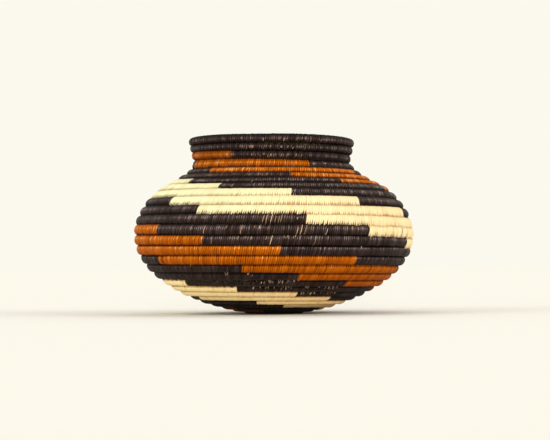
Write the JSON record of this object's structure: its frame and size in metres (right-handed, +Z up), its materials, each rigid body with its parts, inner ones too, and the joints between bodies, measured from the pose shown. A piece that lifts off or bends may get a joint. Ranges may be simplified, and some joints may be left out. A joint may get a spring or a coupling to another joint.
{
  "type": "coiled basket jar",
  "caption": "Wide-bellied jar-shaped basket of one wrapped and sewn fibre coil, with a short neck, a flat base and stepped bands of black, rust and natural fibre.",
  "frame": {"origin": "centre of the base, in the plane that the basket stands on", "axes": "+Z up through the mouth; -Y towards the camera of the picture, +X to its right"},
  "size_m": [0.2011, 0.2022, 0.1276],
  "materials": {
    "black_fibre": "satin",
    "rust_fibre": "satin",
    "natural_fibre": "satin"
  },
  "bodies": {
    "root": {"base_round_01": "black_fibre", "base_round_02": "black_fibre", "base_round_03": "black_fibre", "belly_round_13": "rust_fibre", "belly_round_14": "rust_fibre", "belly_round_15": "black_fibre", "belly_round_16": "black_fibre", "belly_round_17": "natural_fibre", "coil_start": "black_fibre", "neck_round_24": "rust_fibre", "neck_round_25": "rust_fibre", "neck_round_26": "black_fibre", "neck_round_27": "black_fibre", "rim_round_28": "black_fibre", "shoulder_round_18": "natural_fibre", "shoulder_round_19": "natural_fibre", "shoulder_round_20": "natural_fibre", "shoulder_round_21": "black_fibre", "shoulder_round_22": "black_fibre", "shoulder_round_23": "black_fibre", "under_belly_round_04": "black_fibre", "under_belly_round_05": "black_fibre", "under_belly_round_06": "black_fibre", "under_belly_round_07": "natural_fibre", "under_belly_round_08": "natural_fibre", "under_belly_round_09": "natural_fibre", "under_belly_round_10": "black_fibre", "under_belly_round_11": "rust_fibre", "under_belly_round_12": "rust_fibre"}
  },
  "joints": []
}
